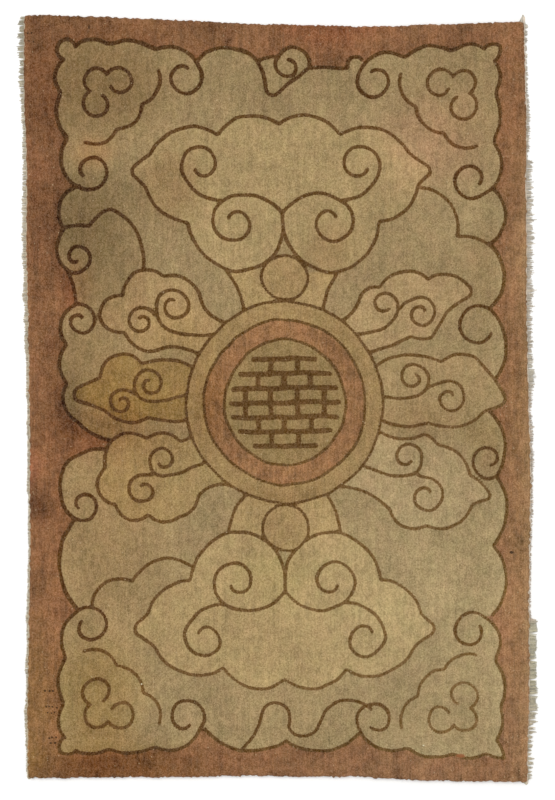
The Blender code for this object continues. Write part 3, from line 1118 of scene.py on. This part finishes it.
def cotton_material():
    """Old warp cotton, with grime, and the plies' bump noise painted into its colour: painted light on the
    plies and painted shade in the hollows between them.
    """
    wiring = Wiring("warp_cotton", roughness=0.92)
    ply = wiring.noise(wiring.stretched(PLY_SIZE, PLY_SIZE, PLY_SIZE))
    # The ply noise, which is also the bump, paints light on the plies and shade in their hollows.
    grains = [wiring.grain(GRIME), (ply, PLY_STRENGTH)]
    colour = wiring.shaded(wiring.attribute("dye"), grains, DUST_AND_SHADE_SHARE)
    return wiring.finish(colour, ply, PLY_BUMP)


# ---------------- warp ends
STRAND_PITCH = 1.45 * MM
STRAND_RADIUS = 0.72 * MM
STRAND_SIDES = 5
STRAND_STEPS = 6
ROOT_DEPTH = 3.0 * MM
ROOT_LIFT = 0.6 * MM
FLOOR_GAP = 0.05 * MM
TWIST = 2.5
WANDER = 0.3 * MM
FRAY_FROM = 0.7
FRAY = 0.45
SHORTEST_STRAND = 1.5 * MM
MOST_LEAN = 3 * MM

# How much each differs from the next, as shares of its own size
PITCH_SPREAD = (0.8, 1.2)
BUNCH_SPREAD = (0.75, 1.3)
FULLNESS = (0.85, 1.08)
LEAN_SPREAD = (0.7, 1.3)
LUMPS = (0.8, 1.05)
COTTON_SPREAD = 0.06

# A wisp starts at one share of its width outside the pile's long side, and peaks at another share.
WISP_STRANDS = 11
WISP_WIDTH = 14 * MM
WISP_START = 0.12
WISP_PEAK = 0.25
WISP_TAPER = 0.75
WISP_CLOSING = 0.5
WISP_SCATTER = 0.3
SHORTEST_WISP = 2 * MM

# The web's section, as places out from the pile's edge and up from the floor
WEB_STEP = 3.0 * MM
WEB_PROFILE = [(-2.0 * MM, 0.1 * MM), (1.3 * MM, 0.1 * MM), (1.8 * MM, 0.8 * MM), (1.3 * MM, 1.5 * MM),
               (0.2 * MM, 1.9 * MM), (-2.0 * MM, 1.9 * MM)]

# The warp ends along a long side, from its bottom to its top, in cm: how long their bunches are,
# how tightly each closes up, how much one strand's reach differs from the next, and their colour.
CottonRow = namedtuple("CottonRow", "along bunch closing ragged colour")
LEFT_COTTON = [
    (-71, 1.0, 0.15, 0.10, (196, 182, 154)),
    (-40, 0.8, 0.10, 0.08, (204, 192, 166)),
    (0, 0.9, 0.10, 0.08, (202, 188, 162)),
    (50, 1.0, 0.15, 0.10, (206, 196, 174)),
    (62, 1.2, 0.30, 0.14, (182, 174, 152)),
]
RIGHT_COTTON = [
    (-71, 0.6, 0.50, 0.18, (204, 194, 170)),
    (-62, 0.7, 0.55, 0.22, (204, 192, 168)),
    (-59, 1.0, 0.45, 0.18, (204, 192, 168)),
    (-57.5, 2.5, 0.18, 0.08, (200, 190, 166)),
    (-52, 3.5, 0.15, 0.06, (198, 190, 164)),
    (-50, 4.8, 0.12, 0.04, (198, 191, 165)),
    (-41, 4.8, 0.12, 0.04, (198, 191, 166)),
    (-40, 0.7, 0.20, 0.25, (204, 188, 168)),
    (0, 0.8, 0.15, 0.22, (208, 194, 176)),
    (5, 1.2, 0.20, 0.15, (208, 200, 182)),
    (10, 0.8, 0.15, 0.22, (208, 196, 178)),
    (50, 0.7, 0.15, 0.25, (208, 198, 180)),
    (68, 1.2, 0.40, 0.15, (212, 204, 188)),
]


class Threads:
    """Closed tubes and strips of cotton, gathered into one mesh."""

    def __init__(self, name, seed):
        self.name = name
        self.draws = random.Random(seed)
        self.vertices = []
        self.faces = []
        self.colours = []

    def loft(self, rings, colour):
        """A closed skin over rings of places, each ring counterclockwise as seen from its end."""
        start, count = len(self.vertices), len(rings[0])
        uneven = np.array(colour) * self.draws.gauss(1.0, COTTON_SPREAD)
        shown = [*linear(np.clip(uneven, 0, 250)) * EXPOSURE, 1.0]
        for ring in rings:
            self.vertices += ring
            self.colours += [shown] * count
        for step in range(len(rings) - 1):
            for number in range(count):
                here = start + step * count + number
                beside = start + step * count + (number + 1) % count
                self.faces.append((here, beside, beside + count, here + count))
        self.faces.append(tuple(range(start, start + count))[::-1])
        self.faces.append(tuple(range(start + (len(rings) - 1) * count, start + len(rings) * count)))

    def strand(self, root, tip, colour):
        """One twisted strand over the floor, from its root under the pile, thinning where it frays."""
        root, along = np.array(root), np.array(tip) - root
        across = np.array([-along[1], along[0]]) / math.hypot(*along)
        phase = self.draws.uniform(0, 2 * math.pi)
        wander = self.draws.gauss(0, WANDER)
        rings = []
        for step in range(STRAND_STEPS + 1):
            share = step / STRAND_STEPS
            middle = root + along * share + across * wander * math.sin(math.pi * share)
            radius = STRAND_RADIUS * (1 - FRAY * max(0.0, share - FRAY_FROM) / (1 - FRAY_FROM))
            z = radius + FLOOR_GAP + ROOT_LIFT * (1 - share)
            ring = []
            for number in range(STRAND_SIDES):
                turn = phase + share * TWIST + 2 * math.pi * number / STRAND_SIDES
                place = middle + across * radius * math.cos(turn)
                ring.append((*place, z + radius * math.sin(turn)))
            rings.append(ring)
        self.loft(rings, colour)

    def wisp(self, edge, end, side, stick_out, colour):
        """A pointed tuft of strands past an end of the pile, at its corner."""
        upward = math.copysign(1, stick_out)
        for number in range(WISP_STRANDS):
            share = (number + self.draws.uniform(-WISP_SCATTER, WISP_SCATTER)) / (WISP_STRANDS - 1)
            away = abs(share - WISP_PEAK) / max(WISP_PEAK, 1 - WISP_PEAK)
            closed = WISP_PEAK + (share - WISP_PEAK) * WISP_CLOSING
            root = (edge + side * WISP_WIDTH * (WISP_START - share), end - upward * ROOT_DEPTH)
            reach = stick_out * (1 - WISP_TAPER * away)
            tip = (edge + side * WISP_WIDTH * (WISP_START - closed), end + reach)
            self.strand(root, tip, colour)

    def web(self, outline, side, low, high, colour):
        """The narrow weft-faced web between the pile and the strands, as one lumpy strip."""
        rings = []
        for y in np.arange(low, high, WEB_STEP):
            edge = float(outline.edge(0, side, y))
            lump = self.draws.uniform(*LUMPS)
            ring = [(edge + side * out * lump, y, height) for out, height in WEB_PROFILE]
            rings.append(ring[::-1] if side > 0 else ring)
        self.loft(rings, colour)

    def build(self):
        piece = new_piece(self.name, self.vertices, self.faces)
        store(piece, "dye", "FLOAT_COLOR", "color", self.colours)
        return piece


TIP_STEP = 6 * MM
TIP_REACH = 7 * MM


def tooth_tips(node, side):
    """How far out the CAD comb's teeth reach, at even steps along its side."""
    points = node_points(node)
    steps = np.arange(points[:, 1].min() + TIP_REACH, points[:, 1].max(), TIP_STEP)
    reach = [(points[np.abs(points[:, 1] - y) < TIP_REACH, 0] * side).max() * side for y in steps]
    return steps, np.array(reach)


def cotton_at(cotton, y):
    """A row of a table of warp ends for any place along its side, between the rows it has."""
    rows = list(starmap(CottonRow, cotton))
    along = [row.along * CM for row in rows]
    numbers = zip(*[(row.bunch, row.closing, row.ragged, *row.colour) for row in rows])
    bunch, closing, ragged, *colour = [np.interp(y, along, column) for column in numbers]
    return CottonRow(y / CM, bunch, closing, ragged, colour)


CORNER_X = 440 * MM


def fringe(name, node, side, cotton, outline, seed):
    """The worn warp ends of one long side: strands in loose bunches, from a narrow web."""
    threads = Threads(name, seed)
    draws = threads.draws
    low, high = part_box(node)[0][1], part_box(node)[1][1]
    steps, tips = tooth_tips(node, side)
    ends = [float(outline.edge(1, upward, side * CORNER_X)) for upward in (-1, 1)]
    y = ends[0] + STRAND_PITCH
    bunch_end = y
    while y < ends[1] - STRAND_PITCH:
        row = cotton_at(cotton, y)
        if y >= bunch_end:
            bunch_start, bunch_end = y, y + row.bunch * CM * draws.uniform(*BUNCH_SPREAD)
            fullness = draws.uniform(*FULLNESS)
        edge = float(outline.edge(0, side, y))
        reach = abs(float(np.interp(y, steps, tips)) - edge) * fullness * draws.gauss(1.0, row.ragged)
        middle = (bunch_start + bunch_end) / 2
        lean = np.clip((middle - y) * row.closing, -MOST_LEAN, MOST_LEAN) * draws.uniform(*LEAN_SPREAD)
        tip = (edge + side * max(SHORTEST_STRAND, reach), y + lean)
        threads.strand((edge - side * ROOT_DEPTH, y), tip, row.colour)
        y += STRAND_PITCH * draws.uniform(*PITCH_SPREAD)
    threads.web(outline, side, low + ROOT_DEPTH, high - ROOT_DEPTH, cotton_at(cotton, 0).colour)
    for end, farthest in zip(ends, (low, high)):
        if abs(farthest - end) > SHORTEST_WISP:
            edge = float(outline.edge(0, side, end))
            threads.wisp(edge, end, side, farthest - end, cotton_at(cotton, end).colour)
    return threads.build()


# ---------------- the rug's pieces
def pile_piece(outline):
    """The knotted face: carved along the pattern's lines, slightly uneven, with a shaggy rim."""
    x, y = outline.grid(CELL, RIM_ROLL)
    places = np.stack([x.ravel(), y.ravel()], axis=-1)
    carved = np.clip(0.5 - painted(places, outline).ink / CARVED_BEVEL, 0, 1) * CARVED_DEPTH
    soft = smooth_noise(*places.T, SWELL_SIZE, SWELL_SEED)
    soft += RIPPLE_SHARE * smooth_noise(*places.T, RIPPLE_SIZE, RIPPLE_SEED)
    rough = np.random.default_rng(KNOT_SEED).normal(0, KNOT_ROUGHNESS, len(places))
    z = (PILE_TOP - carved + soft * SWELL + rough).reshape(x.shape)

    edge_count = 2 * (x.shape[0] + x.shape[1]) - 4
    draws = np.random.default_rng(RIM_SEED)
    rim = []
    shag = draws.normal(0, SHAG, edge_count)
    for angle in RIM_ANGLES:
        share = math.sin(math.radians(angle))
        out = RIM_ROLL * share + shag * share + draws.normal(0, SHAG_SPREAD, edge_count)
        height = PILE_TOP - RIM_ROLL * (1 - math.cos(math.radians(angle)))
        rim.append(RimRow(out, height))
    rim.append(RimRow(RIM_ROLL - RIM_TUCK + shag, PILE_UNDERSIDE))
    inner = np.full(edge_count, RIM_ROLL - FOUNDATION_INSET - 2 * SEAM)
    rim.append(RimRow(inner, PILE_UNDERSIDE))
    rim.append(RimRow(inner, FOUNDATION_HEIGHT + SEAM))
    piece, places = plate("pile", x, y, z, rim, faces_up=True)
    paint(piece, places, outline)
    piece.data.materials.append(pile_material())
    return piece


def foundation_piece(outline):
    """The woven back, a thin plate on the floor under the pile."""
    x, y = outline.grid(FOUNDATION_CELL, FOUNDATION_INSET)
    edge_count = 2 * (x.shape[0] + x.shape[1]) - 4
    foot = RimRow(np.full(edge_count, SEAM), FOUNDATION_FOOT)
    rim = [foot, RimRow(np.zeros(edge_count), FOUNDATION_HEIGHT)]
    piece, places = plate("foundation", x, y, np.zeros_like(x), rim, faces_up=False)
    paint(piece, places, outline)
    piece.data.materials.append(foundation_material())
    return piece


# ---------------- floor, light and camera
FLOOR_SIZE = 16.0
FLOOR_DROP = 0.5 * MM
FLOOR_BUMP = 0.05 * MM
ROOM_LIGHT = 0.85
LAMP_SIZE = 3.0
LAMP_PLACE = (-1.3, 1.7, 4.4)
LAMP_POWER = 95

VIEW_HEIGHT = 1.456
LENS = 100.0
SENSOR = 36.0
VIEW_MIDDLE = (-0.1 * MM, -0.9 * MM)


def stand():
    """A plain pale floor."""
    bpy.ops.mesh.primitive_plane_add(size=FLOOR_SIZE, location=(0, 0, -FLOOR_DROP))
    floor = bpy.context.object
    floor.name = "floor"
    wiring = Wiring("pale_floor", roughness=0.85)
    grain = wiring.noise(wiring.stretched(0.4, 0.4), detail=3.0)
    speck = wiring.noise(wiring.stretched(2 * MM, 2 * MM))
    colour = wiring.mix(grain, (0.95, 0.95, 0.94, 1), (0.98, 0.98, 0.97, 1))
    floor.data.materials.append(wiring.finish(colour, speck, FLOOR_BUMP))


def light():
    """Plain soft studio light: a bright room and one large lamp, a little to the upper left."""
    scene = bpy.context.scene
    scene.world = bpy.data.worlds.new("studio")
    scene.world.use_nodes = True
    sky = scene.world.node_tree.nodes["Background"]
    sky.inputs["Color"].default_value = (1, 1, 1, 1)
    sky.inputs["Strength"].default_value = ROOM_LIGHT
    lamp = bpy.data.lights.new("softbox", "AREA")
    lamp.shape = "SQUARE"
    lamp.size = LAMP_SIZE
    lamp.energy = LAMP_POWER
    holder = bpy.data.objects.new("softbox", lamp)
    holder.location = LAMP_PLACE
    holder.rotation_euler = (-holder.location).to_track_quat("-Z", "Y").to_euler()
    scene.collection.objects.link(holder)
    scene.view_settings.view_transform = "Standard"
    scene.view_settings.look = "None"


def camera():
    """The view from straight above, with the rug's length upright."""
    lens = bpy.data.cameras.new("camera")
    lens.sensor_fit = "VERTICAL"
    lens.sensor_height = SENSOR
    lens.lens = LENS
    holder = bpy.data.objects.new("camera", lens)
    holder.location = (*VIEW_MIDDLE, PILE_TOP + VIEW_HEIGHT * LENS / SENSOR)
    bpy.context.scene.collection.objects.link(holder)
    bpy.context.scene.camera = holder


# ---------------- build
Side = namedtuple("Side", "piece node side cotton seed")
SIDES = [
    Side("warp_ends_left", "fringe_left", -1, LEFT_COTTON, 31),
    Side("warp_ends_right", "fringe_right", 1, RIGHT_COTTON, 37),
]


def main():
    outline = Outline()
    stand()
    light()
    camera()
    pile = pile_piece(outline)
    foundation = foundation_piece(outline)
    for piece in (pile, foundation):
        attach(piece, "root")
        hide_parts("rug")

    cotton = cotton_material()
    for side in SIDES:
        piece = fringe(side.piece, side.node, side.side, side.cotton, outline, side.seed)
        piece.data.materials.append(cotton)
        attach(piece, "root")
        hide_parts(side.node)


main()
